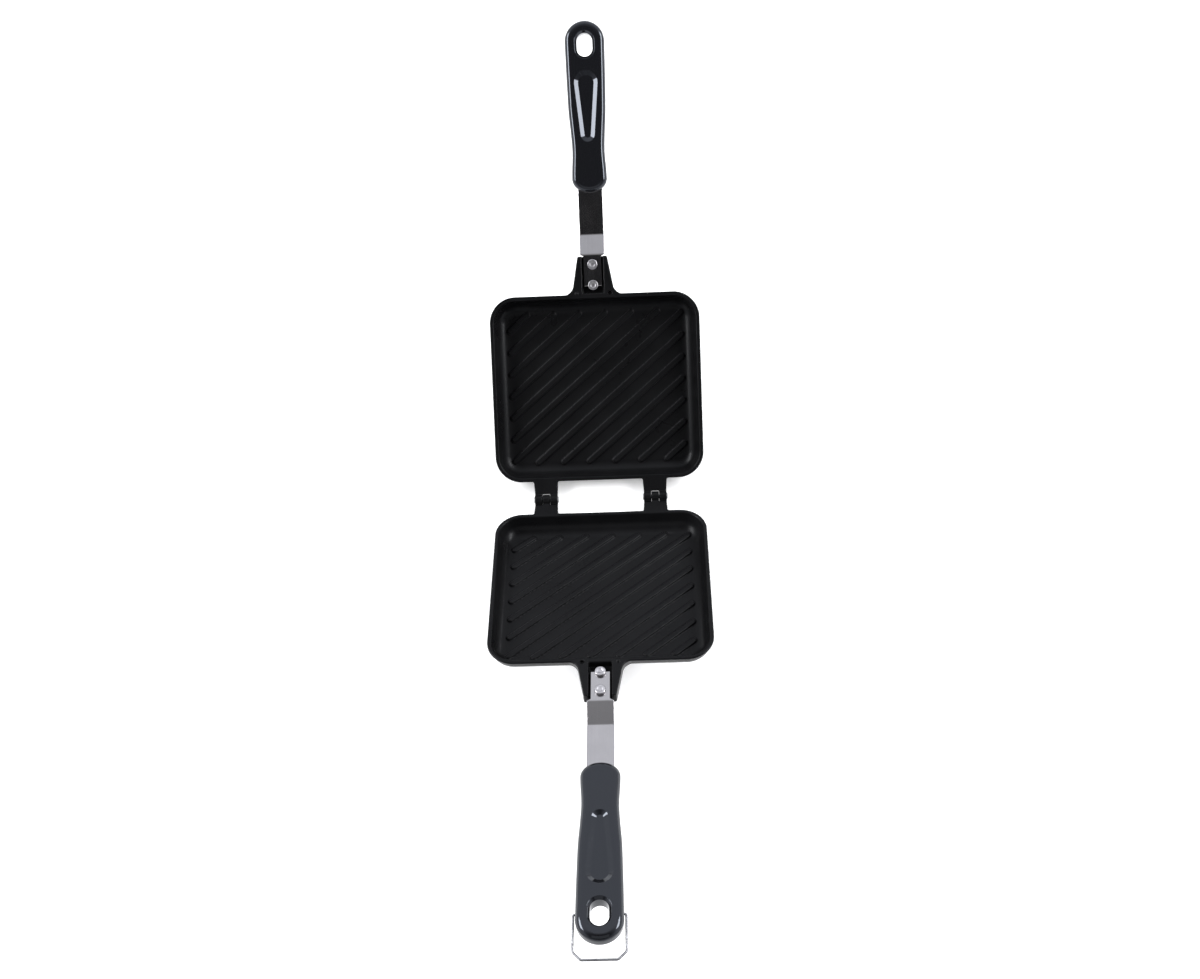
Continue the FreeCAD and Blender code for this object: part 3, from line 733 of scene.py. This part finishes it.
def gripMesh(values):
    shape = bmesh.new()
    outline = gripOutline(values)
    radius, high, low = values["edgeRadius"], values["high"], values["low"]
    turns = [math.pi / 2 * step / values["edgeSteps"] for step in range(values["edgeSteps"] + 1)]
    profile = [(radius + values["margin"], low)]
    profile += [(radius * (1 - math.sin(turn)), low + radius * (1 - math.cos(turn))) for turn in turns]
    profile += [(radius * (1 - math.cos(turn)), high - radius * (1 - math.sin(turn))) for turn in turns]
    profile.append((radius + values["margin"], high))
    rings = [ringOf(shape, insetRing(outline, inset, height)) for inset, height in profile]
    bridgeRings(shape, rings)
    tip = values["start"] + values["length"]
    middle, reach, bevel = tip - values["holeFromTip"], values["holeReach"], values["holeBevel"]
    hole = (middle - reach, middle + reach, values["holeRadius"], values["holeRadius"])
    outer, inner = values["holeRounds"]
    far = bevel + values["holeMargin"]
    corners = [(far, high, 0), (bevel, high, outer), (0, high - bevel, inner),
               (0, low + bevel, inner), (bevel, low, outer), (far, low, 0)]
    holeRings = sweptSlot(shape, hole, roundedPath(corners))
    wall, deep = values["recessWall"], high - values["recessDepth"]
    (outer, inner), (rim, foot) = values["recessMargins"], values["recessRounds"]
    corners = [(outer, high, 0), (0, high, rim), (-wall, deep, foot), (-wall - inner, deep, 0)]
    recessRings = sweptSlot(shape, values["recess"], roundedPath(corners, 6))
    flats = (
        (rings[-1], holeRings[0], recessRings[0]),
        (rings[0], holeRings[-1]),
        (recessRings[-1],),
    )
    for loops in flats:
        edges = [edge for loop in loops for edge in edgesOf(shape, loop)]
        bmesh.ops.triangle_fill(shape, edges=edges, use_beauty=True, use_dissolve=False, normal=(0, 0, 1))
    return meshFrom(shape, "grip")


for half in ("lower", "upper"):
    finishPiece(half + "Grip", gripMesh(gripShape), handleMatrix(half),
                half + "_half", "grip_plastic", half + "_grip")

# rivets and hinge pins, turned and peened

rivetShape = {
    "outs": {"inner": 6.3, "outer": 20.4},
    "strapTop": -3.5,
    "lugUnder": -8.1,
    "headRadius": 3.5,
    "headHeight": 2.0,
    "headWall": 0.9,       # height of the head's upright edge
    "headRound": 0.6,
    "dish": ((1.95, 0.03, 0.4), (1.3, 0.28, 0.3), (0, 0.22, 0)),  # radius, depth and rounding
    "footRadius": 3.2,
    "footHeight": 1.2,
    "edgeRound": 0.5,
    "shankRadius": 1.75,
    "lobes": 5,            # of the star that the peening leaves
    "lobeDepth": 0.10,
    "lobeRing": 1.9,
    "lobeWidth": 0.75,
    "phases": {"inner": 0.7, "outer": 2.6},
    "turns": 64,
    "meshStep": 0.35,
}
pinShape = {
    "middles": {"left": 38.0, "right": -38.0},
    "halfWidth": 7.9,
    "radius": 1.45,
    "headRadius": 2.3,
    "headHeight": 0.7,
    "crown": 0.12,         # how far the head's middle and edge lie under its ring
    "crownRadius": 1.0,
    "edge": 0.25,
    "round": 0.5,
    "turns": 48,
}


def turned(profile, turns, wave=None):  # profile of (radius, height) from one end's middle to the other's
    shape = bmesh.new()
    poles = [shape.verts.new((0, 0, height * mm)) for height in (profile[0][1], profile[-1][1])]
    rings = []
    for radius, height in profile[1:-1]:
        ring = []
        for step in range(turns):
            angle = 2 * math.pi * step / turns
            lift = wave(radius, height, angle) if wave else 0.0
            ring.append(Vector((radius * math.cos(angle), radius * math.sin(angle), height + lift)) * mm)
        rings.append(ringOf(shape, ring))
    bridgeRings(shape, rings)
    for pole, ring in zip(poles, (rings[0], rings[-1])):
        for index in range(turns):
            shape.faces.new((pole, ring[index - 1], ring[index]))
    return meshFrom(shape, "turned")


def rivetMesh(values, phase):
    seat, under, edge = values["strapTop"], values["lugUnder"], values["edgeRound"]
    top, foot = seat + values["headHeight"], under - values["footHeight"]
    corners = [
        (0, foot, 0), (values["footRadius"], foot, edge), (values["footRadius"], under, 0),
        (values["shankRadius"], under, 0), (values["shankRadius"], seat, 0),
        (values["headRadius"] - 0.1, seat, 0), (values["headRadius"], seat + values["headWall"], edge),
        (values["headRadius"] - 0.05, top, values["headRound"]),
    ]
    corners += [(radius, top - depth, rounding) for radius, depth, rounding in values["dish"]]
    path = [Vector(point) for point in roundedPath(corners, 6)]
    fine = [path[0]]
    for first, second in zip(path, path[1:]):
        pieces = max(1, round((second - first).length / values["meshStep"]))
        fine += [first.lerp(second, step / pieces) for step in range(1, pieces + 1)]

    def lobed(radius, height, angle):
        if height < top - edge:
            return 0.0
        rim = math.exp(-((radius - values["lobeRing"]) / values["lobeWidth"]) ** 2)
        return -values["lobeDepth"] * rim * (0.5 + 0.5 * math.cos(values["lobes"] * angle + phase))
    return turned(fine, values["turns"], lobed)


def pinMesh(values):
    half, head, rounding = values["halfWidth"], values["headRadius"], values["round"]
    end = half + values["headHeight"]
    low = end - values["crown"]
    one = [(0, low, 0), (values["crownRadius"], end, rounding), (head - values["edge"], low, rounding),
           (head, half, 0), (values["radius"], half, 0)]
    corners = [(x, -y, r) for x, y, r in one] + [(x, y, r) for x, y, r in reversed(one)]
    path = [(max(point.x, 0), point.y) for point in roundedPath(corners)]
    return turned(path, values["turns"])


for half in ("lower", "upper"):
    for place, out in rivetShape["outs"].items():
        middle = Matrix.Translation((0, -(halfValues["handleSideOut"] + out) * mm, 0))
        mesh = rivetMesh(rivetShape, rivetShape["phases"][place])
        finishPiece(half + "Rivet" + place.capitalize(), mesh, halfMatrix(half) @ middle,
                    half + "_half", "rivet_metal", half + "_rivet_" + place)
for side, middle in pinShape["middles"].items():
    lay = Matrix.Translation(Vector((middle, 0, halfValues["axisRise"])) * mm)
    lay = lay @ Matrix.Rotation(math.pi / 2, 4, "Y")
    finishPiece("hingePin" + side.capitalize(), pinMesh(pinShape), halfMatrix("upper") @ lay,
                "upper_half", "pin_steel", "hinge_pin_" + side)

# wire bail

bailShape = {
    "radius": 0.75,
    "pivotRun": 126.0,
    "length": 26.6,
    "legHalf": 14.7,
    "stubHalf": 9.7,
    "height": -0.9,
    "cornerCut": 4.6,
    "endBend": 1.1,
    "cornerBend": 2.0,
    "sides": 20,
}


def tubeAlong(points, radius, sides):
    shape = bmesh.new()
    rings = []
    across = Vector((0, 0, 1))
    angles = [2 * math.pi * step / sides for step in range(sides)]
    for index, point in enumerate(points):
        before = points[max(index - 1, 0)]
        after = points[min(index + 1, len(points) - 1)]
        out = (after - before).normalized().cross(across)
        ring = [point + (out * math.cos(angle) + across * math.sin(angle)) * radius for angle in angles]
        rings.append(ringOf(shape, [place * mm for place in ring]))
    bridgeRings(shape, rings)
    for ring in (rings[0], rings[-1]):
        shape.faces.new(ring)
    return meshFrom(shape, "wire")


def bailMesh(values):
    far = values["pivotRun"] + values["length"]
    leg, cut = values["legHalf"], values["cornerCut"]
    oneSide = [
        (values["stubHalf"], values["pivotRun"], 0), (leg, values["pivotRun"], values["endBend"]),
        (leg, far - cut, values["cornerBend"]), (leg - cut, far, values["cornerBend"]),
    ]
    corners = [(-x, run, bend) for x, run, bend in oneSide]
    corners += [(x, run, bend) for x, run, bend in reversed(oneSide)]
    path = [Vector((point.x, -point.y, values["height"])) for point in roundedPath(corners, 8)]
    return tubeAlong(path, values["radius"], values["sides"])


finishPiece("latchBail", bailMesh(bailShape), handleMatrix("lower"), "bail", "bail_wire", "latch_bail")
